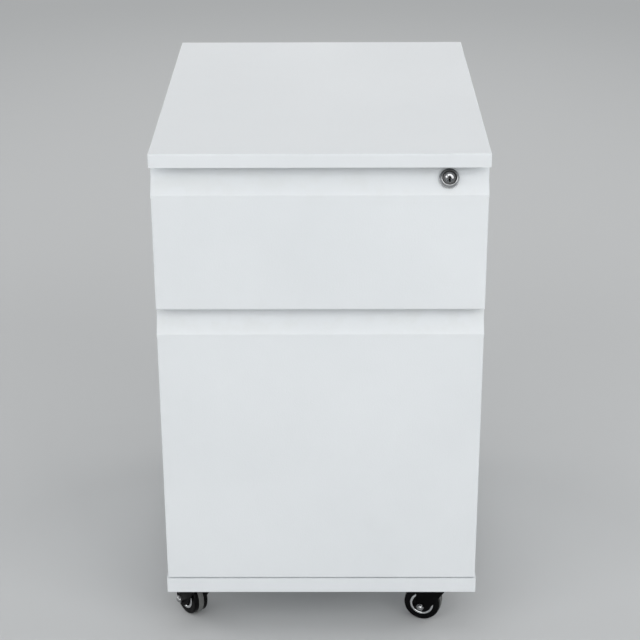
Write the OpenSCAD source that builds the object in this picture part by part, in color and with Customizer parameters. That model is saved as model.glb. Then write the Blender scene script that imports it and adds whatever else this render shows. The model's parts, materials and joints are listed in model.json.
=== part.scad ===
// Mobile steel pedestal: a box drawer over a file drawer, on four swivel casters.
// The origin is the middle of the footprint, on the floor. +X is to the right,
// +Y to the back and +Z up, so the drawer faces stand at the lowest Y.

/* [Casing] */
// Width of the casing
body_w = 390; // [380:1:420]
// Depth from the drawer faces to the back
body_d = 500; // [490:1:540]
// Height of the casing above the casters
body_h = 582; // [570:1:660]
// Thickness of the casing sheet
sheet_t = 1; // [0.8:0.1:1.2]
// Outside radius of the folded edges
edge_r = 2; // [1.6:0.2:3]
// Height of the top cover's lip
lip_h = 16.5; // [14:0.5:20]
// Height of the base tray's rim
base_h = 21; // [18:1:26]

/* [Drawer fronts] */
// Width of each front
front_w = 387; // [376:1:389]
// Depth of each front, from its face to the back of its folds
front_d = 22.5; // [20:0.5:24]
// Height of the box drawer's flat face
box_face_h = 142.4; // [120:0.1:160]
// Height of the finger recess above the box drawer's face
box_pull_h = 33; // [30:0.5:38]
// Height of the finger recess above the file drawer's face
file_pull_h = 31.3; // [30:0.1:38]
// Gap between the lowest front and the base
foot_gap = 1; // [1:0.2:3]
// Slope of the finger pull, from the vertical
pull_angle = 34.5; // [32:0.5:38]
// Depth of the fold along the bottom of each front
foot_fold = 12; // [8:1:14]

/* [Drawer trays] */
// Thickness of the tray sheet
tray_t = 0.8; // [0.6:0.1:1]
// Height of the box drawer's sides
box_tray_h = 111; // [90:1:114]
// Height of the file drawer's sides
file_tray_h = 280; // [240:1:300]
// How far each drawer pulls out
travel = 420; // [410:5:440]

/* [Slides] */
// Height of a slide's cabinet member
slide_h = 45.6; // [45.6:45.6]
// Room for a slide between the casing and a tray
slide_w = 12.7; // [12.7:12.7]
// Balls along one edge of a ball cage
cage_balls = 7; // [4:1:10]

/* [Lock] */
// Place of the lock to the right of the middle
lock_x = 148; // [120:1:150]
// Radius of the lock's flange
lock_r = 11.8; // [10:0.1:12]
// How far the gang bar drops when the lock is turned
bar_drop = 8; // [6:0.5:9]

/* [Casters] */
// Height from the floor to the casing
caster_h = 62; // [60:1:66]
// Distance of each swivel from the middle, sideways
caster_x = 155; // [140:1:160]
// Distance of each swivel from the middle, front to back
caster_y = 214; // [195:1:216]
// Radius of the wheel at its tread
wheel_r = 24; // [22:0.5:25]
// Width of the wheel
wheel_w = 20; // [18:0.5:22]
// How far the wheel trails behind its swivel
trail = 24; // [20:0.5:25]

/* [Hidden] */
$fn = 48;
arc_step = 15;              // degrees for each step round a fold

white = "#dde2e5";
inside_white = "#cfd4d6";
zinc = "#b9bcbd";
chrome = "#c9ccce";
black = "#1d1e20";
tyre_grey = "#8b8d8e";

front_y = -body_d / 2;
back_y = body_d / 2;
top_z = caster_h + body_h;
cover_z = top_z - lip_h;                       // underside of the top cover's lip
base_z = caster_h + base_h;                    // top of the base tray
box_top = cover_z - box_pull_h;                // top edge of the box drawer's face
box_foot = box_top - box_face_h;
file_top = box_foot - file_pull_h;
file_foot = base_z + foot_gap;

side_y = front_y + front_d + 1.4;              // front edges of the side panels
inner_x = body_w / 2 - sheet_t;                // inner faces of the side panels
rail_x = inner_x - 11;                         // faces that the slides are fixed to
tray_w = 2 * (rail_x - slide_w);               // outside width of both trays
tray_y0 = front_y + front_d;                   // front face of each tray's front plate
tray_y1 = tray_y0 + 450;                       // back of each tray
slide_l = travel + 30;                         // length of each slide member
slide_y0 = tray_y0 + 4;
slide_y1 = slide_y0 + slide_l;
flange_w = 20;                                 // width of the casing's inward folds
box_tray_z = box_foot + 12.5;
file_tray_z = file_foot + 7.5;
box_slide_z = box_tray_z + 53;
file_slide_z = file_tray_z + 168;

fold_r = edge_r - sheet_t / 2;                 // middle-of-sheet radius of a fold
hem_r = 1.7;                                   // middle-of-sheet radius of the pull's top edge
hem_drop = 8;                                  // length of the hem's return, downwards
lip_fold = 10;                                 // return under the top cover's front lip
wall_top = 17;                                 // front plate's top, above the face

screw_r = 1.9;
head_r = 3.4;

upright_w = 30;
front_upright_y = front_y + 38;
rear_upright_y = back_y - 70;

lock_s = 19;                                   // lock's distance up the slope
lock_out = 7;                                  // how far the lock stands off the slope
plug_in = 2.4;                                 // how far the core lies back in the lock's rim
barrel_r = 9;
barrel_l = 20;
plug_r = 7;
cam_t = 2.5;
cam_l = 27;
cam_gap = 0.6;
bar_t = 3;                                     // gang bar's thickness and width
bar_w = 16;
bar_x = inner_x - 9.5;
bar_y = front_upright_y + upright_w + 6;
bar_z = base_z + 40;
hook_x = tray_w / 2 + 2.2;                     // inner ends of the gang bar's hooks
catch_lift = slide_h / 2 + 8;                  // foot of a drawer's catch above its slide
catch_h = 12;
catch_gap = 1.5;
lock_sin = sin(pull_angle);
lock_cos = cos(pull_angle);
cam_y = front_y + lock_s * lock_sin + (barrel_l + cam_gap + cam_t / 2) * lock_cos;
cam_z = box_top + lock_s * lock_cos - (barrel_l + cam_gap + cam_t / 2) * lock_sin;
cam_half = 4;

axle_r = 3;
king_r = 5;
tread_half = 3.6;                              // half the width of the rubber band
turn_gap = 0.06;                               // running clearance round axles and kingpins
plate_t = 2;
plate_w = 50;
bolt_pitch = 38;
bolt_r = 3;
leg_in = wheel_w / 2 + 3.3;                    // inner face of a fork's leg
leg_t = 2.2;

sides = ["left", "right"];
// Each caster's name, its side and end, and the heading its wheel points at rest
casters = [
    ["front_left", -1, -1, -53],
    ["front_right", 1, -1, -16],
    ["rear_left", -1, 1, 152],
    ["rear_right", 1, 1, -25]
];

// ---- Shapes shared by the sheet metal ----

function unit(v) = v / norm(v);
function turned(v, a) = [v.x * cos(a) - v.y * sin(a), v.x * sin(a) + v.y * cos(a)];

// One face of a folded sheet. It follows the corner points p, with every corner
// rounded to radius r, at a distance of o to the left of them.
function sheet_face(p, r, o) = [
    for (i = [0 : len(p) - 1])
        let (
            a = unit(i == 0 ? p[1] - p[0] : p[i] - p[i - 1]),
            b = i == len(p) - 1 ? a : unit(p[i + 1] - p[i]),
            turn = i == 0 ? 0 : atan2(a.x * b.y - a.y * b.x, a * b),
            s = turn < 0 ? -1 : 1,
            centre = p[i] - a * r * tan(abs(turn) / 2) + turned(a, 90) * s * r,
            steps = ceil(abs(turn) / arc_step)
        )
        for (k = [0 : steps])
            centre + turned(a, 90 + (steps == 0 ? 0 : turn * k / steps)) * (o - s * r)
];

// The section of a folded sheet of thickness t, centred on the corner points p
module folded(p, t, r) {
    back = sheet_face(p, r, -t / 2);
    polygon(concat(sheet_face(p, r, t / 2), [for (i = [len(back) - 1 : -1 : 0]) back[i]]));
}

// A rectangle centred on X, from y0 to y1, with its lower and upper corners rounded
function panel_outline(w, y0, y1, low_r, high_r) = [
    for (c = [[w / 2, y0, low_r, -90], [w / 2, y1, high_r, 0],
              [-w / 2, y1, high_r, 90], [-w / 2, y0, low_r, 180]])
        let (
            mid = [c[0] - sign(c[0]) * c[2], c[1] + (c[1] == y0 ? 1 : -1) * c[2]],
            steps = c[2] == 0 ? 0 : 90 / arc_step
        )
        for (k = [0 : steps])
            mid + c[2] * turned([1, 0], c[3] + (steps == 0 ? 0 : 90 * k / steps))
];

// A flat shape drawn in Y and Z, carried from x0 to x1
module along_x(x0, x1) {
    translate([x0, 0, 0]) rotate([90, 0, 90]) linear_extrude(x1 - x0) children();
}

// A flat shape drawn in X and Z, carried from y0 to y1
module along_y(y0, y1) {
    translate([0, y1, 0]) rotate([90, 0, 0]) linear_extrude(y1 - y0) children();
}

// A flat shape drawn in X and Y, carried from z0 to z1
module along_z(z0, z1) {
    translate([0, 0, z0]) linear_extrude(z1 - z0) children();
}

module box(low, high) {
    translate(low) cube(high - low);
}

// The shape made for the right side, or its mirror image for the left
module on_side(side) {
    mirror([side == "left" ? 1 : 0, 0, 0]) children();
}

// ---- Casing ----

// A block of the casing's plan, its lower edges and its upright corners rounded
module casing_block(h, inset, r) {
    w = body_w - 2 * inset;
    d = body_d - 2 * inset;
    intersection() {
        along_z(inset, h) polygon(panel_outline(w, -d / 2, d / 2, r, r));
        along_y(-d, d) polygon(panel_outline(w, inset, h + edge_r, r, 0));
        along_x(-w, w) polygon([for (p = panel_outline(d, inset, h + edge_r, r, 0)) p]);
    }
}

// A shallow tray in one sheet: floor, rim, and a return fold round the mouth
module rim_tray(h, front_fold) {
    difference() {
        casing_block(h, 0, edge_r);
        intersection() {
            casing_block(h, sheet_t, edge_r - sheet_t);
            box([-body_w, -body_d, 0], [body_w, body_d, h - sheet_t]);
        }
        box([-body_w / 2 + flange_w, front_y + front_fold, h / 2],
            [body_w / 2 - flange_w, back_y - flange_w, h + 1]);
    }
}

module top_cover() {
    color(white) difference() {
        translate([0, 0, top_z]) mirror([0, 0, 1]) rim_tray(lip_h, lip_fold);
        each_cover_screw() screw_hole();
    }
}

// A hat section under the middle of the top sheet
module cover_stiffener() {
    z = top_z - sheet_t - sheet_t / 2;
    color(inside_white) along_x(-inner_x + 14, inner_x - 14)
        folded([[-34, z], [-20, z], [-14, z - 10], [14, z - 10], [20, z], [34, z]], sheet_t, 1);
}

// One side of the casing: a C section on plan with folds along its top and bottom
module side_panel(side) {
    mid_x = inner_x + sheet_t / 2;
    color(white) difference() {
        on_side(side) side_sheet(mid_x);
        each_back_screw() {
            screw_hole();
            translate([0, 0, -2]) cylinder(r = head_r + 0.2, h = 2.01);
        }
        each_cover_screw() screw_hole();
    }
}

module side_sheet(mid_x) {
    union() {
        along_z(base_z, cover_z) folded([
            [inner_x - flange_w, back_y - sheet_t / 2],
            [mid_x, back_y - sheet_t / 2],
            [mid_x, side_y + sheet_t / 2],
            [rail_x + sheet_t / 2, side_y + sheet_t / 2],
            [rail_x + sheet_t / 2, side_y + 10]
        ], sheet_t, fold_r);
        for (z = [base_z, cover_z - sheet_t])
            box([rail_x - 6, side_y + sheet_t / 2, z], [mid_x, back_y - sheet_t / 2, z + sheet_t]);
    }
}

// The back sheet stands inside the side panels' rear folds
module back_panel() {
    y = back_y - sheet_t;
    w = inner_x - 1.2;
    color(white) difference() {
        along_x(-w, w) folded([
            [y - 14, base_z + 1.5 * sheet_t],
            [y - sheet_t / 2, base_z + 1.5 * sheet_t],
            [y - sheet_t / 2, cover_z - 1.5 * sheet_t],
            [y - 14, cover_z - 1.5 * sheet_t]
        ], sheet_t, fold_r);
        each_back_screw() screw_hole();
    }
}

module base_tray() {
    color(white) difference() {
        translate([0, 0, caster_h]) rim_tray(base_h, foot_fold);
        each_caster_bolt() cylinder(r = bolt_r + 0.3, h = 4 * plate_t);
    }
}

// The channel that ties the front uprights together under the top cover
module top_rail() {
    y = front_upright_y + 14;
    color(inside_white) along_x(-rail_x, rail_x) folded([
        [y, cover_z - 15], [y, cover_z - 2], [y + 20, cover_z - 2], [y + 20, cover_z - 15]
    ], sheet_t, fold_r);
}

// The two channels on one side that carry the slides, with hook slots down their webs
module uprights(side) {
    t = 1.2;
    color(inside_white) on_side(side) difference() {
        for (y = [front_upright_y, rear_upright_y])
            along_z(base_z + sheet_t, cover_z - sheet_t) folded([
                [inner_x, y + t / 2], [rail_x + t / 2, y + t / 2],
                [rail_x + t / 2, y + upright_w - t / 2], [inner_x, y + upright_w - t / 2]
            ], t, 1.4);
        for (y = [front_upright_y, rear_upright_y], z = [base_z + 60 : 50 : cover_z - 60])
            box([rail_x - 1, y + upright_w / 2 - 2, z], [rail_x + 3, y + upright_w / 2 + 2, z + 14]);
    }
}

// Places of the screws down the back, pointing inwards, heads let into the side panels' folds
module each_back_screw() {
    for (x = [-1, 1], z = [base_z + 45 : (cover_z - base_z - 90) / 3 : cover_z - 44])
        translate([x * (inner_x - flange_w / 2), back_y - sheet_t, z]) rotate([90, 0, 0]) children();
}

// Places of the screws that hold the top cover down from below
module each_cover_screw() {
    for (x = [-1, 1], y = [front_upright_y + upright_w + 40, rear_upright_y - 40])
        translate([x * (inner_x - 10), y, cover_z - sheet_t]) children();
}

module screw_hole() {
    translate([0, 0, -1]) cylinder(r = screw_r + 0.1, h = 4);
}

module casing_screws() {
    color(zinc) {
        each_back_screw() pan_screw(9);
        each_cover_screw() pan_screw(8);
    }
}

// A small screw pointing along +Z, its cross-slotted head seated under Z = 0
module pan_screw(l) {
    head_h = 0.95;
    difference() {
        rotate_extrude() polygon([
            [0, -head_h], [head_r - 0.9, -head_h], [head_r, -0.2], [head_r, 0], [screw_r, 0],
            [screw_r, l - 1.2], [screw_r - 1.2, l], [0, l]
        ]);
        for (a = [0, 90]) rotate(a) translate([-1.8, -0.35, -head_h - 1]) cube([3.6, 0.7, 1.7]);
    }
}

// ---- Drawer fronts ----

// The sloping pull: up from the face, back over a rounded top edge and down again
module pull_section(face_top) {
    mid_y = front_y + sheet_t / 2;
    back = front_y + front_d - sheet_t / 2;
    low_z = face_top - sheet_t / 2 * tan(pull_angle / 2);
    tip_z = low_z + (back - mid_y) / tan(pull_angle);
    hem_z = tip_z - hem_r * tan(90 - pull_angle / 2);
    low = [mid_y, low_z];
    up = [lock_sin, lock_cos];                 // up the slope
    meet = 6;                                  // the two lengths meet here, clear of the lock's hole
    folded([[mid_y, face_top - 4], low, low + (meet + 1) * up], sheet_t, fold_r);
    folded([low + (meet - 1) * up, [back, tip_z], [back, hem_z - hem_drop]], sheet_t, hem_r);
}

// A front in one sheet: face, side folds with returns, foot fold and pull
module drawer_front(foot, face_top) {
    t = sheet_t;
    w = front_w;
    bend = edge_r * tan(pull_angle / 2);
    deep = front_y + front_d;
    difference() {
        intersection() {
            along_z(foot, face_top - bend) polygon([
                for (p = panel_outline(w, front_y, deep, edge_r, 0)) p
            ]);
            along_x(-w, w) polygon(front_foot(foot, face_top, 0));
        }
        intersection() {
            along_z(foot, face_top) polygon(panel_outline(w - 2 * t, front_y + t, deep + 1, edge_r - t, 0));
            along_x(-w, w) polygon(front_foot(foot, face_top + 9, t));
        }
        box([-w / 2 + t, front_y + foot_fold, foot - 1], [w / 2 - t, deep + 1, foot + t + 1]);
    }
    box([-w / 2 + t, front_y + foot_fold - t, foot + t / 2], [w / 2 - t, front_y + foot_fold, foot + 6]);
    for (x = [-1, 1]) translate([x * (w / 2 - t / 2 - 6), 0, 0])
        box([-6, deep - t, foot + 8], [6, deep, face_top - bend]);
    along_x(-w / 2, w / 2) pull_section(face_top);
}

// Side view of a front's closed outline, with its lower front edge rounded, shrunk by s
function front_foot(foot, high, s) =
    let (y = front_y + s, z = foot + s, r = edge_r - s, deep = front_y + front_d + 2 * s)
    concat([
        for (k = [0 : 90 / arc_step])
            [y + r, z + r] + r * turned([-1, 0], 90 * k * arc_step / 90)
    ], [[deep, z], [deep, high], [y, high]]);

module box_drawer_front() {
    color(white) difference() {
        drawer_front(box_foot, box_top);
        at_lock() translate([0, 0, -6]) cylinder(r = barrel_r + 0.2, h = 12);
        at_lock() translate([0, 0, -30]) cylinder(r = barrel_r + 0.6, h = 28);
    }
}

module file_drawer_front() {
    color(white) drawer_front(file_foot, file_top);
}

// ---- Drawer trays ----

// An open tray: folded sides and floor with inward rims, a back, and the plate
// that closes the front from behind
module tray(low, h, face_top) {
    mid_x = tray_w / 2 - tray_t / 2;
    high = low + h - tray_t / 2;
    foot = low + tray_t / 2;
    rim = 8;
    bead_x = 80;
    bead_h = 2.2;
    along_y(tray_y0 + tray_t, tray_y1) folded([
        [-mid_x + rim, high - 5], [-mid_x + rim, high], [-mid_x, high], [-mid_x, foot],
        for (x = [-1, 1]) each [
            [x * bead_x - 13, foot], [x * bead_x - 9, foot + bead_h],
            [x * bead_x + 9, foot + bead_h], [x * bead_x + 13, foot]
        ],
        [mid_x, foot], [mid_x, high], [mid_x - rim, high], [mid_x - rim, high - 5]
    ], tray_t, 1.2);
    box([-tray_w / 2 + 1, tray_y1 - tray_t, low], [tray_w / 2 - 1, tray_y1, low + h]);
    box([-rail_x - 3, tray_y0, low], [rail_x + 3, tray_y0 + tray_t, face_top + wall_top + 5]);
}

module box_drawer_tray() {
    color(inside_white) difference() {
        tray(box_tray_z, box_tray_h, box_top);
        at_lock() translate([0, 0, -40]) {
            cylinder(r = barrel_r + 3.4, h = 40);
            translate([-barrel_r - 3.4, 0, 0]) cube([2 * barrel_r + 6.8, 40, 40]);
        }
        for (x = [-1, 1], y = [tray_y0 + 40 : 20 : tray_y1 - 40])
            translate([x * tray_w / 2, y, box_tray_z + box_tray_h - 26]) box([-2, -1.5, 0], [2, 1.5, 14]);
    }
}

module file_drawer_tray() {
    color(inside_white) tray(file_tray_z, file_tray_h, file_top);
}

// The strip along one side of the file drawer that suspension files hook on to
module hanging_rail(side) {
    x = tray_w / 2 - 5.5;
    top = file_tray_z + file_tray_h;
    color(zinc) on_side(side) {
        box([x - 2, tray_y0 + tray_t, top], [x, tray_y1 - tray_t, top + 6]);
        for (y = [tray_y0 + 30 : 96 : tray_y1 - 20])
            box([x - 2, y, top], [x + 3, y + 10, top + 1.5]);
    }
}

// ---- Ball-bearing slides ----

// One member of a right-hand slide: section points run from the casing side (0) to the tray side
module slide_member(points, t, r, z) {
    along_y(slide_y0, slide_y1) translate([rail_x, z]) mirror([1, 0]) folded(points, t, r);
}

// A C section of half height h, its web at distance web and its edges at edge
function c_section(web, edge, h) = [[edge, h], [web, h], [web, -h], [edge, -h]];

module cabinet_slide(side, z) {
    h = slide_h / 2 - 0.6;
    color(zinc) on_side(side) slide_member(
        concat([[10.2, h - 2.2]], c_section(0.6, 10.2, h), [[10.2, 2.2 - h]]), 1.2, 1, z);
}

module middle_slides(z) {
    color(zinc) for (s = sides) on_side(s)
        slide_member(c_section(3, 11.2, slide_h / 2 - 6), 1.2, 1, z);
}

module drawer_slide(side, z) {
    color(zinc) on_side(side) slide_member(c_section(slide_w - 0.6, 4.8, slide_h / 2 - 11.2), 1.2, 1, z);
}

// The strips that hold two rows of balls apart, for both slides of a drawer
module ball_cages(z, web, edge, h, ball_r, ball_x) {
    pitch = 32;
    half = (cage_balls - 1) * pitch / 2 + 8;
    mid_y = slide_y0 + slide_l / 2;
    color(chrome) for (s = sides) on_side(s) {
        along_y(mid_y - half, mid_y + half) translate([rail_x, z]) mirror([1, 0])
            folded(c_section(web, edge, h), 0.6, 0.6);
        for (row = [-1, 1], i = [0 : cage_balls - 1])
            translate([rail_x - ball_x, mid_y + (i - (cage_balls - 1) / 2) * pitch, z + row * h])
                sphere(r = ball_r);
    }
}

module outer_cages(z) {
    ball_cages(z, 1.8, 8.6, slide_h / 2 - 3.3, 1.75, 6.2);
}

module inner_cages(z) {
    ball_cages(z, 4.2, 10, slide_h / 2 - 8.6, 1.65, 7.8);
}

// ---- Lock and gang bar ----

// The lock's own frame: on the slope, +Z out of it and +Y up it
module at_lock() {
    translate([lock_x, front_y + lock_s * lock_sin, box_top + lock_s * lock_cos])
        rotate([90 - pull_angle, 0, 0]) children();
}

module lock_barrel() {
    body_r = lock_r - 0.5;
    color(chrome) at_lock() rotate_extrude() polygon([
        [plug_r + turn_gap, -barrel_l], [barrel_r, -barrel_l], [barrel_r, -2.7], [barrel_r - 0.7, -2.7],
        [barrel_r - 0.7, -1], [barrel_r, -1], [barrel_r, 0], [lock_r, 0], [lock_r, 0.9],
        [lock_r - 0.2, 1.1], [body_r, 1.2], [body_r, lock_out - 3.2], [body_r - 0.3, lock_out - 2.5],
        [body_r - 1.5, lock_out - 0.8], [body_r - 2, lock_out - 0.2], [body_r - 2.5, lock_out],
        [plug_r + 1, lock_out],
        [plug_r + 0.75, lock_out - 0.2], [plug_r + turn_gap, lock_out - plug_in + 0.5]
    ]);
}

// The horseshoe clip in the barrel's groove, which holds the lock in the sheet
module lock_clip() {
    color(zinc) at_lock() translate([0, 0, -sheet_t - 1.6]) difference() {
        cylinder(r = 12.2, h = 1.5);
        translate([0, 0, -1]) cylinder(r = barrel_r - 0.65, h = 4);
        translate([-5.6, 0, -1]) cube([11.2, 20, 4]);
        translate([-20, 7.4, -1]) cube([40, 20, 4]);
    }
}

// The turning core, with its keyway and the square tail that drives the cam
module lock_plug() {
    color(chrome) at_lock() difference() {
        union() {
            translate([0, 0, 0.5 - barrel_l]) cylinder(r = plug_r, h = barrel_l + lock_out - plug_in - 0.5);
            translate([-3.5, -3.5, -barrel_l - 6]) cube([7, 7, 7]);
        }
        translate([0, 0, lock_out - plug_in - 1]) cylinder(r1 = 2.6, r2 = 4.8, h = 1.001);
        translate([0.5, -0.8, -8]) {
            translate([-0.7, -3.8, 0]) cube([1.4, 7.6, 14]);
            translate([-1.4, -1.6, 0]) cube([1.4, 1.5, 14]);
            translate([0, 0.6, 0]) cube([1.4, 1.5, 14]);
        }
    }
}

// The arm that presses the gang bar down, with the nut that holds it on the plug
module lock_cam() {
    color(zinc) at_lock() translate([0, 0, -barrel_l - cam_gap - cam_t]) {
        difference() {
            hull() {
                cylinder(r = 8, h = cam_t, $fn = 32);
                translate([0, cam_l, 0]) cylinder(r = cam_half, h = cam_t, $fn = 32);
            }
            translate([-3.5, -3.5, -1]) cube([7, 7, 9]);
        }
        translate([0, 0, -2.6]) difference() {
            cylinder(r = 7.4, h = 2.6, $fn = 6);
            translate([-3.5, -3.5, -1]) cube([7, 7, 9]);
        }
    }
}

// Height of the tab that the cam presses, at rest
tab_z = cam_z - cam_half * lock_cos - cam_t / 2 * lock_sin - 0.4 + bar_drop;

// The bar that bolts both drawers at once. A hook for each drawer drops in front
// of the catch on its tray.
module gang_bar() {
    color(zinc) {
        box([bar_x, bar_y, bar_z], [bar_x + bar_t, bar_y + bar_w, tab_z]);
        box([hook_x, bar_y, tab_z - 3], [bar_x + bar_t, bar_y + bar_w, tab_z]);
        box([hook_x, cam_y - 3, tab_z - 14], [hook_x + 3, bar_y + bar_w, tab_z]);
        for (z = [box_slide_z, file_slide_z])
            translate([0, 0, z + catch_lift + catch_h + catch_gap])
                box([hook_x, bar_y, 0], [bar_x + 1, bar_y + bar_w, 8]);
    }
}

// Straps on the right side panel that the bar slides in
module gang_bar_guides() {
    gap = 0.35;
    t = 1;
    color(zinc) for (z = [base_z + 70, file_slide_z + 90, box_slide_z - 50]) along_z(z, z + 14)
        difference() {
            translate([bar_x - gap - t + 0.5, bar_y - gap - t])
                square([inner_x - bar_x + gap + t - 0.5, bar_w + 2 * gap + 2 * t]);
            translate([bar_x - gap, bar_y - gap]) square([20, bar_w + 2 * gap]);
        }
}

// The angle on a tray's right side that the gang bar's hook stops
module drawer_catch(z) {
    y = bar_y + bar_w + catch_gap;
    color(zinc) {
        box([tray_w / 2, y, z + catch_lift], [hook_x + 7, y + 2, z + catch_lift + catch_h]);
        box([tray_w / 2, y, z + catch_lift], [tray_w / 2 + 1.5, y + 16, z + catch_lift + catch_h]);
    }
}

// ---- Casters ----

module each_caster_bolt() {
    for (c = casters, x = [-1, 1], y = [-1, 1])
        translate([c[1] * caster_x + x * bolt_pitch / 2, c[2] * caster_y + y * bolt_pitch / 2,
                   caster_h - 2 * plate_t])
            children();
}

// A caster's own frame: on its swivel, on the floor, its wheel trailing along -X
module at_caster(c) {
    translate([c[1] * caster_x, c[2] * caster_y, 0]) rotate([0, 0, c[3]]) children();
}

// The four top plates, each with the skirt of its race and its kingpin
module caster_plates() {
    color(zinc) difference() {
        for (c = casters) translate([c[1] * caster_x, c[2] * caster_y, caster_h - plate_t]) {
            linear_extrude(plate_t) polygon([
                for (p = panel_outline(plate_w, -plate_w / 2, plate_w / 2, 5, 5)) p
            ]);
            rotate_extrude() polygon([
                [0, -12.3], [king_r + 1.6, -12.3], [king_r + 2.4, -11.5],
                [king_r + 2.4, -10.9], [king_r, -10.9],
                [king_r, -3], [12.5, -3], [12.5, -6], [18, -6], [18, -3.5], [16, 0], [0, 0]
            ]);
        }
        each_caster_bolt() cylinder(r = bolt_r + 0.3, h = 4 * plate_t);
    }
}

// Hexagon bolts through the plates and the base tray's floor, with their nuts
module caster_bolts() {
    color(zinc) each_caster_bolt() translate([0, 0, plate_t]) {
        cylinder(r = bolt_r, h = plate_t + sheet_t + 8);
        translate([0, 0, -4]) cylinder(r = 5.7, h = 4, $fn = 6);
        translate([0, 0, plate_t + sheet_t]) cylinder(r = 5.7, h = 4.5, $fn = 6);
    }
}

// The fork, pressed from one sheet: a crown on the kingpin, a hood over the wheel
// and two legs that taper down to the axle
module fork(c) {
    crown_z = caster_h - plate_t - 10.5;
    leg = [-trail - 6.4, 6.5];
    mid_y = leg_in + leg_t / 2;
    color(black) at_caster(c) difference() {
        union() {
            intersection() {
                along_x(leg[0], leg[1]) folded([
                    [-mid_y, wheel_r - 9], [-mid_y, crown_z + leg_t / 2],
                    [mid_y, crown_z + leg_t / 2], [mid_y, wheel_r - 9]
                ], leg_t, 2.6);
                along_y(-mid_y - leg_t, mid_y + leg_t) hull() {
                    translate([2.4 - trail, wheel_r]) circle(r = 8.8, $fn = 32);
                    translate([leg[0], crown_z]) square([leg[1] - leg[0], leg_t]);
                }
            }
            translate([0, 0, crown_z]) rotate_extrude() polygon([
                [king_r + 1, 0], [12.6, 0], [12.6, leg_t], [12, leg_t], [12, 5.2], [10.8, 6.4], [8.1, 6.4],
                [6.9, 5.2], [6.9, leg_t], [king_r + 1, leg_t]
            ]);
        }
        translate([0, 0, crown_z - 20]) cylinder(r = king_r + turn_gap, h = 40);
        translate([-trail, 40, wheel_r]) rotate([90, 0, 0]) cylinder(r = axle_r + 0.02, h = 80);
    }
}

// The axle bolt: a low round head inside, a domed cap nut outside
module axle(c) {
    out = leg_in + leg_t;
    color(chrome) at_caster(c) translate([-trail, 0, wheel_r]) rotate([90, 0, 0]) {
        translate([0, 0, -out]) cylinder(r = axle_r, h = 2 * out);
        translate([0, 0, out]) cylinder(r = 5.2, h = 4, $fn = 6);
        translate([0, 0, out + 4]) rotate_extrude() polygon(concat([[0, -1]], [
            for (a = [0 : 15 : 90]) [4.3 * cos(a), 3.3 * sin(a)]
        ], [[0, 3.3]]));
        translate([0, 0, -out]) rotate_extrude()
            polygon([[0, 0], [5.2, 0], [5.2, -1.2], [3.6, -2.4], [0, -2.4]]);
    }
}

// Half of a wheel's section, from the axis (0) outwards, mirrored about its middle
module wheel_half(points) {
    polygon(concat(points, [for (i = [len(points) - 1 : -1 : 0]) [points[i].x, -points[i].y]]));
}

module at_wheel(c) {
    at_caster(c) translate([-trail, 0, wheel_r]) rotate([90, 0, 0]) children();
}

// The wheel's body: long hub, dished sides and two flanges, with a channel for the tread
module wheel(c) {
    half = wheel_w / 2;
    color(black) at_wheel(c) rotate_extrude() wheel_half([
        [axle_r + turn_gap, leg_in - 0.3], [6.4, leg_in - 0.3], [6.8, half - 0.6], [7.6, half - 1.6],
        [11.7, half - 1.6], [11.8, half - 0.6], [15.4, half - 0.6], [15.9, half], [wheel_r - 2.4, half],
        [wheel_r - 1.3, half - 0.5], [wheel_r - 0.8, half - 1.6], [wheel_r - 0.8, tread_half + 0.2],
        [wheel_r - 2.6, tread_half + 0.1]
    ]);
}

// The rubber band in the wheel's channel, slightly crowned
module tread(c) {
    color(tyre_grey) at_wheel(c) rotate_extrude() wheel_half([
        [wheel_r - 2.55, tread_half], [wheel_r - 0.6, tread_half], [wheel_r - 0.2, tread_half - 0.5],
        [wheel_r, 1.6]
    ]);
}

// The bright half-round ring let into each side of the wheel
module wheel_rings(c) {
    half = wheel_w / 2;
    mid_r = 13.6;
    color(chrome) at_wheel(c) for (s = [0, 1]) mirror([0, 0, s]) rotate_extrude() polygon(concat(
        [[mid_r - 1.7, half - 0.6], [mid_r + 1.7, half - 0.6]],
        [for (a = [0 : arc_step : 180]) [mid_r + 1.7 * cos(a), half - 0.1 + 1.1 * sin(a)]]
    ));
}

// ---- The assembly ----

top_cover();
cover_stiffener();
back_panel();
base_tray();
top_rail();
casing_screws();
box_drawer_front();
box_drawer_tray();
file_drawer_front();
file_drawer_tray();
lock_barrel();
lock_clip();
lock_plug();
lock_cam();
gang_bar();
gang_bar_guides();
caster_plates();
caster_bolts();
for (s = sides) {
    side_panel(s);
    uprights(s);
    hanging_rail(s);
}
for (d = [["box", box_slide_z], ["file", file_slide_z]]) {
    for (s = sides) {
        cabinet_slide(s, d[1]);
        drawer_slide(s, d[1]);
    }
    middle_slides(d[1]);
    outer_cages(d[1]);
    inner_cages(d[1]);
    drawer_catch(d[1]);
}
for (c = casters) {
    fork(c);
    axle(c);
    wheel(c);
    tread(c);
    wheel_rings(c);
}
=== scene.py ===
# A steel mobile pedestal on casters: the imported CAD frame, its finishes, small fittings and a plain studio.
import json
import math
import bpy
import numpy as np
from mathutils import Matrix, Vector


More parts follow.
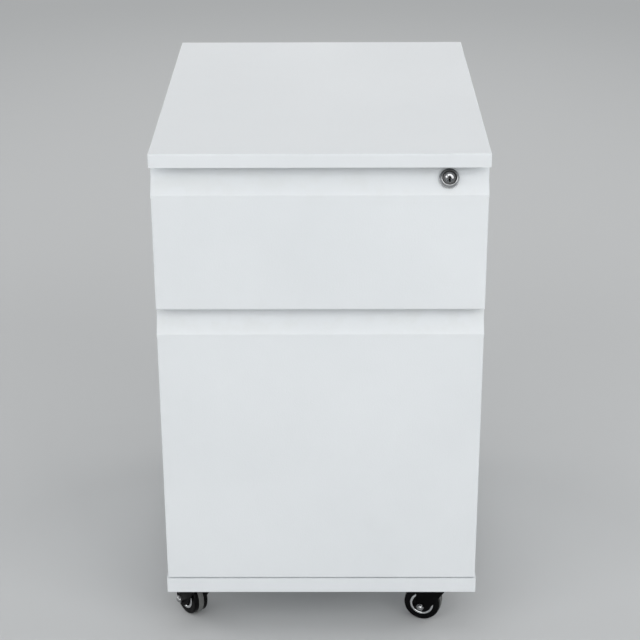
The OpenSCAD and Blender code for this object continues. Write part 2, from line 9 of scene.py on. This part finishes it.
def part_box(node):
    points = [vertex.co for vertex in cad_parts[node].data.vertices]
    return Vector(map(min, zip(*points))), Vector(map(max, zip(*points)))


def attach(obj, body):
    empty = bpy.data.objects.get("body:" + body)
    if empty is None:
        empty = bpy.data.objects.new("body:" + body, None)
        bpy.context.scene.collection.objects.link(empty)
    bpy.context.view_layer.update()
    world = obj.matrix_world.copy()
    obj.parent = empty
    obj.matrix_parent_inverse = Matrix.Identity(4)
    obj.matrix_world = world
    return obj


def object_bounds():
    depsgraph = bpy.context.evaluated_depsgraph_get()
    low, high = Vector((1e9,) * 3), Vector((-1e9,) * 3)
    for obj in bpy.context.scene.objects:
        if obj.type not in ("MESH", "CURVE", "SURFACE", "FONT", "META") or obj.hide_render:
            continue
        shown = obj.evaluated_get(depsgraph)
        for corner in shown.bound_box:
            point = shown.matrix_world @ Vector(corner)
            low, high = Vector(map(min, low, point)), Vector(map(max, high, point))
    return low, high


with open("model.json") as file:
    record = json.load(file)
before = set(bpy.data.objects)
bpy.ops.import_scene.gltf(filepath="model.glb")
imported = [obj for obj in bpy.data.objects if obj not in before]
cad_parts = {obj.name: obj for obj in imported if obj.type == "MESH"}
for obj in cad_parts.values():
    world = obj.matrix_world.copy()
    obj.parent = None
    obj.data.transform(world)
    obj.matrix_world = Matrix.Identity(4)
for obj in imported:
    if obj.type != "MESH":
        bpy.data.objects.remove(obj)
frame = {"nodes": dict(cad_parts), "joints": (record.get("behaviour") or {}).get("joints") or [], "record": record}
cadLow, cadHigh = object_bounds()
scene = bpy.context.scene

view = {"distance": 1.833,      # in front of the cabinet
        "rise": 0.6006,         # above the top cover
        "side": 0.0122,         # to the right of the middle
        "pitch": 23.72, "turn": 0.39, "roll": -0.242,
        "lens": 95.66, "sensor": 36, "farthest": 60}


def placeCamera():
    camera = bpy.data.objects.new("camera", bpy.data.cameras.new("camera"))
    camera.data.lens = view["lens"]
    camera.data.sensor_width = view["sensor"]
    camera.data.clip_end = view["farthest"]
    place = Vector((view["side"], cadLow.y - view["distance"], cadHigh.z + view["rise"]))
    turn = (Matrix.Rotation(math.radians(view["turn"]), 4, "Z")
            @ Matrix.Rotation(math.radians(90 - view["pitch"]), 4, "X")
            @ Matrix.Rotation(math.radians(view["roll"]), 4, "Z"))
    camera.matrix_world = Matrix.Translation(place) @ turn
    scene.collection.objects.link(camera)
    scene.camera = camera


placeCamera()
print("camera placed")


# A short way to write a material: add() makes a node, sets its inputs and settings,
# and links any input that is given as a socket.
class Tree:
    def __init__(self, name):
        self.material = bpy.data.materials.new(name)
        self.material.use_nodes = True
        self.nodes = self.material.node_tree.nodes
        self.links = self.material.node_tree.links
        self.nodes.clear()
        self.out = self.nodes.new("ShaderNodeOutputMaterial")
        self.place = self.add("TexCoord").outputs["Object"]

    def add(self, kind, inputs=None, **settings):
        node = self.nodes.new("ShaderNode" + kind)
        for key, value in settings.items():
            setattr(node, key, value)
        for key, value in (inputs or {}).items():
            socket = node.inputs[key]
            if isinstance(value, bpy.types.NodeSocket):
                self.links.new(value, socket)
            else:
                socket.default_value = value
        return node

    # noise of so many features a metre, as a number round 0.5; another offset is another pattern
    def noise(self, perMetre, detail=2.0, rough=0.5, stretch=(1, 1, 1), offset=0.0):
        at = self.add("Mapping", {"Vector": self.place, "Scale": stretch,
                                  "Location": (offset, offset, offset)}).outputs[0]
        return self.add("TexNoise", {"Vector": at, "Scale": perMetre, "Detail": detail,
                                     "Roughness": rough}).outputs["Fac"]

    # value carried from one range to another, clamped
    def span(self, value, low, high, newLow, newHigh):
        return self.add("MapRange", {"Value": value, "From Min": low, "From Max": high,
                                     "To Min": newLow, "To Max": newHigh}).outputs[0]

    # 0 where value is at start, 1 where it is at end, clamped
    def share(self, value, start, end):
        return self.span(value, start, end, 0, 1)

    def sums(self, operation, a, b=0.0):
        return self.add("Math", {0: a, 1: b}, operation=operation).outputs[0]

    def gap(self, a, b):
        return self.sums("ABSOLUTE", self.sums("SUBTRACT", a, b))

    def axes(self, vector):
        return self.add("SeparateXYZ", {0: vector}).outputs

    # inputs 6 and 7 of a Mix node are its two colours, and output 2 is the mixed one
    def mix(self, share, a, b):
        return self.add("Mix", {0: share, 6: a, 7: b}, data_type="RGBA").outputs[2]

    def bump(self, height, distance):
        return self.add("Bump", {"Height": height, "Distance": distance, "Strength": 1.0}).outputs[0]

    def surface(self, inputs):
        shader = self.add("BsdfPrincipled", inputs)
        self.links.new(shader.outputs[0], self.out.inputs[0])
        return self.material


def colour(r, g, b):
    return (r, g, b, 1.0)


oneNoise = (0.3, 0.7)       # nearly all of a noise lies in this range,
twoNoises = (0.7, 1.3)      # and nearly all of two noises added lies in this one

casingPaint = {"shade": colour(0.734, 0.762, 0.781), "light": colour(0.769, 0.796, 0.815),
               "peelPerMetre": 520, "grainPerMetre": 2400, "cloudPerMetre": 5,
               "peelHeight": 0.00014, "grainShare": 0.25, "ior": 1.45,
               "rough": (0.42, 0.54), "roughFrom": (0.4, 0.9), "peelInRough": 0.3,
               "handling": {"below": 0.012,             # under a front's top edge, where hands reach most
                            "reach": (0.03, 0.004),     # how far from there smudges end, and are full
                            "behind": (0.03, 0.06),     # behind the faces, where they fade out
                            "smudgesPerMetre": 45, "smudgeFrom": (0.46, 0.62),
                            "gloss": 0.09, "soil": 0.5, "tint": colour(0.722, 0.745, 0.748)}}
# a darker copy of the casing white for the parts inside the casing: painted shade
shadedInnerPaint = dict(casingPaint, shade=colour(0.66, 0.69, 0.70), light=colour(0.70, 0.73, 0.74),
                  rough=(0.46, 0.58))


# Powder coat: grains of paint flow into a shallow orange peel, which is coarse noise
# with a little fine noise. Large faint clouds change the colour and the gloss, and where
# hands reach, round the top of each drawer front, smudges make it a little glossier.
def powderCoat(name, look):
    t = Tree(name)
    peel = t.noise(look["peelPerMetre"], detail=1.5)
    grain = t.noise(look["grainPerMetre"], detail=1.0, offset=3.1)
    cloud = t.noise(look["cloudPerMetre"], detail=3.0, offset=7.7)
    height = t.sums("ADD", peel, t.sums("MULTIPLY", grain, look["grainShare"]))
    tint = t.mix(t.share(cloud, *oneNoise), look["shade"], look["light"])
    patches = t.sums("ADD", cloud, t.sums("MULTIPLY", peel, look["peelInRough"]))
    rough = t.span(patches, *look["roughFrom"], *look["rough"])
    hands = look["handling"]
    along, up = t.axes(t.place)[1:]
    near = 0.0
    for pull in ("box_drawer_front", "file_drawer_front"):
        off = t.gap(up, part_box(pull)[1].z - hands["below"])
        near = t.sums("MAXIMUM", near, t.share(off, *hands["reach"]))
    front = t.span(along, cadLow.y + hands["behind"][0], cadLow.y + hands["behind"][1], 1, 0)
    smudge = t.noise(hands["smudgesPerMetre"], detail=3.0, rough=0.6, offset=1.3)
    handled = t.sums("MULTIPLY", t.sums("MULTIPLY", near, front), t.share(smudge, *hands["smudgeFrom"]))
    rough = t.sums("SUBTRACT", rough, t.sums("MULTIPLY", handled, hands["gloss"]))
    tint = t.mix(t.sums("MULTIPLY", handled, hands["soil"]), tint, hands["tint"])
    return t.surface({"Base Color": tint, "Roughness": rough, "IOR": look["ior"],
                      "Normal": t.bump(height, look["peelHeight"])})


zinc = {"shade": colour(0.50, 0.50, 0.49), "light": colour(0.66, 0.67, 0.68),
        "streaksPerMetre": 900, "stretch": (1, 1, 0.25), "cloudPerMetre": 90,
        "streakHeight": 0.00003, "rough": (0.26, 0.44)}
slideSteel = {"shade": colour(0.50, 0.51, 0.52), "light": colour(0.70, 0.71, 0.72),
              "streaksPerMetre": 1600, "stretch": (1, 0.012, 1), "cloudPerMetre": 30,
              "streakHeight": 0.00003, "rough": (0.20, 0.36),
              "trackReach": (0.00108, 0.00072),     # how far from its middle a track ends, and is full
              "trackLight": colour(0.80, 0.80, 0.79), "trackGloss": 0.12}
cageSteel = dict(slideSteel, shade=colour(0.42, 0.42, 0.42), light=colour(0.60, 0.60, 0.60),
                 stretch=(1, 1, 1))
chrome = {"shade": colour(0.60, 0.61, 0.62), "light": colour(0.72, 0.73, 0.74),
          "streaksPerMetre": 2600, "stretch": (1, 1, 1), "cloudPerMetre": 300,
          "streakHeight": 0.000006, "rough": (0.05, 0.11)}
dullChrome = dict(chrome, shade=colour(0.29, 0.295, 0.30), light=colour(0.40, 0.405, 0.41),
                  rough=(0.07, 0.14))

# The middle of each row of balls lies this far in from the back of a slide
ballRows = {"outer": 0.0062, "inner": 0.0078}
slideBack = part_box("box_cabinet_slide_right")[1].x
ballTracks = [slideBack - row for row in ballRows.values()]


# Rolled or plated metal: fine noise in colour, gloss and height, drawn out into streaks
# along an axis where the look's stretch is small. Balls have rolled bright narrow tracks
# into it at the given distances from the middle.
def rolledMetal(name, look, tracks=()):
    t = Tree(name)
    streak = t.noise(look["streaksPerMetre"], detail=3.0, rough=0.6, stretch=look["stretch"])
    cloud = t.noise(look["cloudPerMetre"], offset=5.0)
    tint = t.mix(t.share(t.sums("ADD", streak, cloud), *twoNoises), look["shade"], look["light"])
    rough = t.span(streak, *oneNoise, *look["rough"])
    height = streak
    if tracks:
        out = t.sums("ABSOLUTE", t.axes(t.place)[0])
        rolled = 0.0
        for track in tracks:
            rolled = t.sums("MAXIMUM", rolled, t.share(t.gap(out, track), *look["trackReach"]))
        tint = t.mix(rolled, tint, look["trackLight"])
        rough = t.sums("SUBTRACT", rough, t.sums("MULTIPLY", rolled, look["trackGloss"]))
        height = t.sums("SUBTRACT", streak, rolled)
    return t.surface({"Base Color": tint, "Metallic": 1.0, "Roughness": rough,
                      "Normal": t.bump(height, look["streakHeight"])})


nickel = {"shade": colour(0.30, 0.305, 0.31), "light": colour(0.44, 0.445, 0.45),
          "ringsPerMetre": 9000, "ringHeight": 0.000006, "cloudPerMetre": 300, "rough": (0.13, 0.22),
          "groove": 0.0077,                     # radius of the ring round the core
          "grooveReach": (0.0013, 0.00052),     # how far from that radius the painted shade ends, and is full
          "core": (0.93, 0.97),                 # shares of that radius, over which the keyway's painted shade ends
          "dish": 0.0011, "keyFade": 0.0008,    # depth where the painted shade starts, and how soon it is full
          # the first three settings on the next line give the painted shade: how strong it gets in the groove, its
          # colour and its roughness
          "paintedShade": 0.92, "paintedShadeColour": colour(0.006, 0.006, 0.006), "paintedShadeRough": 0.6, "shine": 0.1}


# A lathe-turned nickel face: fine rings, which are noise of the distance from the axis,
# with painted shade in the ring round the core and down the keyway.
def turnedNickel(name, look, centre, axis, face):
    t = Tree(name)
    reach = t.add("VectorMath", {0: t.place, 1: centre}, operation="SUBTRACT").outputs[0]
    depth = t.add("VectorMath", {0: reach, 1: axis}, operation="DOT_PRODUCT").outputs["Value"]
    side = t.add("VectorMath", {0: reach, 1: axis}, operation="CROSS_PRODUCT").outputs[0]
    radius = t.add("VectorMath", {0: side}, operation="LENGTH").outputs["Value"]
    rings = t.add("TexNoise", {"W": radius, "Scale": look["ringsPerMetre"], "Detail": 2.0},
                  noise_dimensions="1D").outputs["Fac"]
    cloud = t.noise(look["cloudPerMetre"], offset=5.0)
    tint = t.mix(t.share(t.sums("ADD", rings, cloud), *twoNoises), look["shade"], look["light"])
    rough = t.span(rings, *oneNoise, *look["rough"])
    # painted shade: the gap round the core and the keyway are darkened in the colour itself, where only shade
    # falls
    groove = t.span(t.gap(radius, look["groove"]), *look["grooveReach"], 0, look["paintedShade"])
    inner = t.span(radius, look["groove"] * look["core"][0], look["groove"] * look["core"][1], 1, 0)
    bottom = face - look["dish"]
    keywayShade = t.sums("MULTIPLY", inner, t.share(depth, bottom, bottom - look["keyFade"]))
    shadeMask = t.sums("MAXIMUM", groove, keywayShade)
    return t.surface({"Base Color": t.mix(shadeMask, tint, look["paintedShadeColour"]),
                      "Metallic": t.sums("SUBTRACT", 1.0, shadeMask),
                      "Roughness": t.sums("ADD", rough, t.sums("MULTIPLY", shadeMask, look["paintedShadeRough"])),
                      "Specular IOR Level": look["shine"],
                      "Normal": t.bump(rings, look["ringHeight"])})


blackPaint = {"shade": colour(0.0018, 0.0018, 0.002), "light": colour(0.0035, 0.0035, 0.004),
              "grainPerMetre": 900, "cloudPerMetre": 60, "cloudFrom": (0.35, 0.7), "grainHeight": 0.00004,
              "rough": (0.30, 0.42), "shine": 0.04}
blackNylon = dict(blackPaint, grainPerMetre=2600, grainHeight=0.00002, rough=(0.24, 0.36), shine=0.07)
greyRubber = {"shade": colour(0.115, 0.118, 0.115), "light": colour(0.165, 0.168, 0.165),
              "grainPerMetre": 2200, "cloudPerMetre": 120, "cloudFrom": (0.35, 0.7), "grainHeight": 0.00004,
              "rough": (0.55, 0.75), "shine": 0.4}


# Painted or moulded black, or rubber: fine noise in its height and gloss, and clouds in its colour
def smoothSolid(name, look):
    t = Tree(name)
    fine = t.noise(look["grainPerMetre"])
    cloud = t.noise(look["cloudPerMetre"], detail=3.0, offset=2.0)
    tint = t.mix(t.share(cloud, *look["cloudFrom"]), look["shade"], look["light"])
    rough = t.span(t.sums("ADD", fine, cloud), *twoNoises, *look["rough"])
    return t.surface({"Base Color": tint, "Roughness": rough, "Specular IOR Level": look["shine"],
                      "Normal": t.bump(fine, look["grainHeight"])})


# A CAD node's corners as an array
def cornersOf(node):
    corners = frame["nodes"][node].data.vertices
    places = np.empty(len(corners) * 3)
    corners.foreach_get("co", places)
    return places.reshape(-1, 3)


# The lock's axis, out of the cabinet, and the height of its core's face along it
lock = next(joint for joint in frame["joints"] if joint["name"] == "lock_turn")
lockCentre = Vector(lock["pos_m"])
lockAxis = Vector(lock["axis"]).normalized()
if lockAxis.y > 0:
    lockAxis.negate()
lockFace = float(((cornersOf("lock_plug") - np.array(lockCentre)) @ np.array(lockAxis)).max())

finishes = {
    "casing_white": powderCoat("casingPaint", casingPaint),
    "inner_white": powderCoat("shadedInnerPaint", shadedInnerPaint),
    "zinc_steel": rolledMetal("zincPlate", zinc),
    "slide_steel": rolledMetal("slideSteel", slideSteel, ballTracks),
    "cage_steel": rolledMetal("cageSteel", cageSteel),
    "lock_chrome": turnedNickel("satinNickel", nickel, lockCentre, lockAxis, lockFace),
    "fork_black": smoothSolid("blackPaint", blackPaint),
    "axle_chrome": rolledMetal("axleChrome", dullChrome),
    "wheel_black": smoothSolid("blackNylon", blackNylon),
    "tread_grey": smoothSolid("greyRubber", greyRubber),
    "ring_chrome": rolledMetal("ringChrome", chrome),
}

for part in frame["record"]["subparts"]:
    node = frame["nodes"][part["node"]]
    if not node.material_slots:
        node.data.materials.append(None)
    for slot in node.material_slots:
        slot.material = finishes[part["material_slot"]]
print("finishes made:", len(finishes))


def smoothPiece(name, places, faces):
    mesh = bpy.data.meshes.new(name)
    mesh.from_pydata(places, [], faces)
    mesh.polygons.foreach_set("use_smooth", np.ones(len(mesh.polygons), dtype=bool))
    mesh.update()
    piece = bpy.data.objects.new(name, mesh)
    scene.collection.objects.link(piece)
    return piece


# Each of grids holds places by ring and step. Steps close round on themselves; rings close round
# too when ringsClose is set, and otherwise each end is shut by a fan to its middle.
def gridMesh(name, grids, ringsClose=False):
    places, faces = [], []
    start = 0
    for points in grids:
        rings, steps = points.shape[:2]
        index = start + np.arange(rings * steps).reshape(rings, steps)
        across = np.roll(index, -1, axis=1)
        low, lowAcross, high, highAcross = index[:-1], across[:-1], index[1:], across[1:]
        if ringsClose:
            low, lowAcross = index, across
            high, highAcross = np.roll(index, -1, axis=0), np.roll(across, -1, axis=0)
        faces += np.stack([low, lowAcross, highAcross, high], axis=-1).reshape(-1, 4).tolist()
        places.append(points.reshape(-1, 3))
        start += rings * steps
        if not ringsClose:
            places.append(np.stack([points[0].mean(axis=0), points[-1].mean(axis=0)]))
            first = np.stack([across[0], index[0], np.full(steps, start)], axis=-1)
            last = np.stack([index[-1], across[-1], np.full(steps, start + 1)], axis=-1)
            faces += first.tolist() + last.tolist()
            start += 2
    return smoothPiece(name, np.concatenate(places).tolist(), faces)


# A profile of (radius, height) turned about an axis at a place:
# point = place + height * axis + radius * (cos * side + sin * up)
def turned(profile, place, axis, steps=24):
    axis = np.array(axis, dtype=float)
    axis /= np.linalg.norm(axis)
    side = np.cross(axis, (0, 0, 1) if abs(axis[2]) < 0.9 else (1, 0, 0))
    side /= np.linalg.norm(side)
    up = np.cross(axis, side)
    angle = np.linspace(0, 2 * np.pi, steps, endpoint=False)[:, None]
    circle = np.cos(angle) * side + np.sin(angle) * up
    return np.array(place) + profile[:, None, 1:] * axis + profile[:, None, :1] * circle[None]


def dress(piece, body, slot):
    piece.data.materials.append(finishes[slot])
    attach(piece, body)


# Where a drawer's member of a slide lies: its web's inner face, its front end and its middle height
def drawerMember(drawer, side):
    low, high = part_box(f"{drawer}_drawer_slide_{side}")
    return min(abs(low.x), abs(high.x)), low.y, (low.z + high.z) / 2


drawers = ("box", "file")
sides = (("left", -1), ("right", 1))
traySheet = 0.0008
slideSheet = 0.0012

rivets = {"radius": 0.0034, "height": 0.0013, "behindFront": (0.045, 0.19, 0.335),
          "sweep": 1.45,        # radians that the head's profile runs through, from the wall to its top
          "rings": 7, "sunk": 0.0001}


# Low round heads, an ellipse's arc turned about the rivet, three along each slide inside the drawer
def makeRivets():
    arc = np.linspace(0, 1, rivets["rings"]) * rivets["sweep"]
    height = rivets["height"] * np.sin(arc) - rivets["sunk"]
    profile = np.stack([rivets["radius"] * np.cos(arc), height], axis=-1)
    for drawer in drawers:
        heads = []
        for side, way in sides:
            web, front, middle = drawerMember(drawer, side)
            heads += [turned(profile, (way * (web - traySheet), front + y, middle), (-way, 0, 0))
                      for y in rivets["behindFront"]]
        dress(gridMesh(f"{drawer}_slide_rivets", heads), f"{drawer}_drawer", "zinc_steel")


lever = {"length": 0.058, "thick": 0.0020, "rootWidth": 0.0125, "tipWidth": 0.0075,
         "square": 0.45,        # power of the sine and cosine round the bar: 1 would be an ellipse
         "endPower": 14, "endWidth": 0.03,
         "waist": 0.28, "waistAt": 0.42, "waistLength": 0.10,
         "rise": 0.0022, "behindFront": 0.146, "sunk": 0.0001,
         "rings": 34, "steps": 28}


# A thumb lever that lies on the web of each drawer member: a bar whose section is a squared
# ellipse. Its width tapers, narrows by a bell curve at its waist and falls off at both ends as
# the root of 1 - |distance from the middle|^endPower. Its tip curves away from the web as the
# square of the distance along it.
def makeLevers():
    along = np.linspace(0, 1, lever["rings"])
    ends = np.sqrt(np.clip(1 - np.abs(2 * along - 1) ** lever["endPower"], 0, 1))
    roundEnd = ends * (1 - lever["endWidth"]) + lever["endWidth"]
    width = (lever["rootWidth"] + (lever["tipWidth"] - lever["rootWidth"]) * along) / 2 * roundEnd
    waist = 1 - lever["waist"] * np.exp(-((along - lever["waistAt"]) / lever["waistLength"]) ** 2)
    thick = lever["thick"] / 2 * roundEnd
    lift = lever["rise"] * along ** 2
    angle = np.linspace(0, 2 * np.pi, lever["steps"], endpoint=False)
    squareCos = np.sign(np.cos(angle)) * np.abs(np.cos(angle)) ** lever["square"]
    squareSin = np.sign(np.sin(angle)) * np.abs(np.sin(angle)) ** lever["square"]
    for drawer in drawers:
        grids = []
        for side, way in sides:
            web, front, middle = drawerMember(drawer, side)
            face = web + slideSheet - lever["sunk"]
            x = face + lever["thick"] / 2 + lift[:, None] + thick[:, None] * squareCos
            y = front + lever["behindFront"] + lever["length"] * (1 - along)
            z = middle + (width * waist)[:, None] * squareSin
            grid = np.stack([way * x, np.broadcast_to(y[:, None], x.shape), z], axis=-1)
            grids.append(grid if way > 0 else grid[:, ::-1])
        dress(gridMesh(f"{drawer}_release_levers", grids), f"{drawer}_drawer", "wheel_black")


buffers = {"radius": 0.0034, "height": 0.00045, "innermost": 0.12, "rings": 8, "sunk": 0.00005,
           "inFromEdge": 0.0060, "belowTop": (0.050, 0.150, 0.225, 0.515)}


# Thin rubber domes on the casing's front folds, where the drawers close on them:
# height falls off as one minus the fourth power of the radius
def makeBuffers():
    out = np.linspace(1, buffers["innermost"], buffers["rings"])
    height = buffers["height"] * (1 - out ** 4) - buffers["sunk"]
    profile = np.stack([buffers["radius"] * out, height], axis=-1)
    domes = []
    for side, way in sides:
        low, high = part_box(f"side_panel_{side}")
        edge = max(abs(low.x), abs(high.x)) - buffers["inFromEdge"]
        domes += [turned(profile, (way * edge, low.y, high.z - drop), (0, -1, 0))
                  for drop in buffers["belowTop"]]
    dress(gridMesh("closing_buffers", domes), "carcass", "tread_grey")


welds = {"radius": 0.0028, "dish": 0.00034, "innermost": 0.06, "rings": 14, "sunk": 0.00004,
         "rows": 4, "inFromSlide": 0.012, "lowest": 0.018,
         "highest": 0.55}       # as a share of the tray's height


# Spot-weld marks under the paint, on the inside of each drawer's back wall: a low ring round
# a shallow dish, height = dish * sin(pi * radius^1.5)^2
def makeWelds():
    out = np.linspace(1, welds["innermost"], welds["rings"])
    height = welds["dish"] * np.sin(np.pi * out ** 1.5) ** 2 - welds["sunk"]
    profile = np.stack([welds["radius"] * out, height], axis=-1)
    for drawer in drawers:
        low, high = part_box(f"{drawer}_drawer_tray")
        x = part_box(f"{drawer}_drawer_slide_right")[0].x - welds["inFromSlide"]
        top = low.z + welds["highest"] * (high.z - low.z)
        marks = [turned(profile, (way * x, high.y - traySheet, z), (0, -1, 0))
                 for way in (-1, 1) for z in np.linspace(low.z + welds["lowest"], top, welds["rows"])]
        dress(gridMesh(f"{drawer}_weld_marks", marks), f"{drawer}_drawer", "inner_white")


ribs = {"count": 10, "height": 0.0011, "inner": 0.0077, "outer": 0.0116, "belowRing": 0.0026,
        "across": (0, 0, 0.08, 0.5, 0.92, 1, 1),        # a rib's section, from inner to outer,
        "lift": (0, 0.85, 1, 1, 1, 0.85, 0),            # and its height there
        "power": 16, "steps": 12, "strip": 0.0002, "sunk": 0.0001}


# Moulded ribs in each dished side of a wheel. Round the wheel their height is
# |cos(count * angle / 2)|^power, and the strip they stand on closes underneath.
def makeRibs():
    radius = ribs["inner"] + (ribs["outer"] - ribs["inner"]) * np.array(ribs["across"])
    lift = np.array(ribs["lift"])[:, None]
    angle = np.linspace(0, 2 * np.pi, ribs["count"] * ribs["steps"], endpoint=False)
    pulse = np.abs(np.cos(ribs["count"] * angle / 2)) ** ribs["power"]
    for joint in frame["joints"]:
        if not joint["name"].startswith("roll_"):
            continue
        corner = joint["name"].removeprefix("roll_")
        hub, axle = np.array(joint["pos_m"]), np.array(joint["axis"], dtype=float)
        dish = np.abs((cornersOf(f"wheel_rings_{corner}") - hub) @ axle).max() - ribs["belowRing"]
        side = np.cross((0, 0, 1), axle)
        spoke = np.cos(angle)[:, None] * side + np.sin(angle)[:, None] * np.array((0, 0, 1))
        height = dish - ribs["sunk"] + (ribs["strip"] + ribs["height"] * pulse) * lift
        grids = []
        for way in (-1, 1):
            grid = hub + radius[:, None, None] * spoke + way * height[..., None] * axle
            grids.append(grid[:, ::-1] if way > 0 else grid)
        dress(gridMesh(f"wheel_ribs_{corner}", grids, ringsClose=True), joint["child"], "wheel_black")


makeRivets()
makeLevers()
makeBuffers()
makeWelds()
makeRibs()
print("fittings made")

studio = {"floor": colour(0.54, 0.55, 0.555), "floorRough": 0.85,
          "flatRings": (0.02, 1, 2, 3, 4, 5), "floorRadius": 7.0, "floorSteps": 96,
          "cove": 1.6, "coveRings": 13, "wallHeight": 4.4,
          "fade": (1.1, 3.4),     # metres from the middle, over which the floor becomes the even backdrop
          "backdrop": colour(0.40, 0.41, 0.415),
          "sky": 0.24, "skyTint": colour(0.98, 0.99, 1.0),
          "lamps": [  # name, place, width, height, power
              ("right key", (2.2, -2.6, 2.5), 2.4, 2.2, 45),
              ("left key", (-2.2, -2.6, 2.5), 2.4, 2.2, 34),
              ("front fill", (0.0, -3.8, 1.1), 4.2, 1.6, 45),
              ("right side", (2.8, 0.9, 1.5), 2.8, 2.4, 35),
              ("left side", (-2.8, 0.9, 1.5), 2.8, 2.4, 33),
              ("top", (0.0, -0.9, 3.7), 3.2, 1.4, 16),
              ("back", (0.0, 3.5, 1.1), 3.0, 1.8, 34)]}


# Far from the object the camera and mirrors see an even tone instead of the lamps' patches
def floorPaint():
    t = Tree("floorPaint")
    reach = t.add("VectorMath", {0: t.place}, operation="LENGTH").outputs["Value"]
    away = t.add("MapRange", {"Value": reach, "From Min": studio["fade"][0], "From Max": studio["fade"][1]},
                 interpolation_type="SMOOTHSTEP").outputs[0]
    seen = t.add("LightPath").outputs
    direct = t.sums("MAXIMUM", seen["Is Camera Ray"], seen["Is Glossy Ray"])
    paint = t.add("BsdfPrincipled", {"Base Color": studio["floor"], "Roughness": studio["floorRough"]})
    even = t.add("Emission", {"Color": studio["backdrop"], "Strength": 1.0})
    both = t.add("MixShader", {0: t.sums("MULTIPLY", direct, away), 1: paint.outputs[0], 2: even.outputs[0]})
    t.links.new(both.outputs[0], t.out.inputs[0])
    return t.material


# A round floor that curves up into a wall: radius and height run along a quarter circle
def makeFloor():
    bend = np.linspace(0, np.pi / 2, studio["coveRings"])
    curve = studio["floorRadius"] - studio["cove"] * (1 - np.sin(bend))
    rise = studio["cove"] * (1 - np.cos(bend))
    radius = np.concatenate([studio["flatRings"], curve, curve[-1:]])[:, None]
    height = np.concatenate([np.zeros(len(studio["flatRings"])), rise, [studio["wallHeight"]]])[:, None]
    angle = np.linspace(0, 2 * np.pi, studio["floorSteps"], endpoint=False)
    x, y = radius * np.cos(angle), radius * np.sin(angle)
    places = np.stack([x, y, np.broadcast_to(height, x.shape)], axis=-1)
    index = np.arange(x.size).reshape(x.shape)
    across = np.roll(index, -1, axis=1)
    faces = np.stack([index[:-1], index[1:], across[1:], across[:-1]], axis=-1).reshape(-1, 4).tolist()
    floor = smoothPiece("floor", places.reshape(-1, 3).tolist(), faces + [index[0].tolist()])
    floor.data.materials.append(floorPaint())


def makeLamps():
    middle = (cadLow + cadHigh) / 2
    for name, place, width, height, power in studio["lamps"]:
        lamp = bpy.data.objects.new(name, bpy.data.lights.new(name, "AREA"))
        lamp.data.shape = "RECTANGLE"
        lamp.data.size = width
        lamp.data.size_y = height
        lamp.data.energy = power
        lamp.matrix_world = (Matrix.Translation(place)
                             @ (middle - Vector(place)).to_track_quat("-Z", "Y").to_matrix().to_4x4())
        scene.collection.objects.link(lamp)


def makeSky():
    world = bpy.data.worlds.new("sky")
    scene.world = world
    world.use_nodes = True
    glow = world.node_tree.nodes["Background"].inputs
    glow["Color"].default_value = studio["skyTint"]
    glow["Strength"].default_value = studio["sky"]


makeFloor()
makeLamps()
makeSky()
scene.view_settings.view_transform = "Standard"
print("studio lit")

bpy.context.view_layer.update()
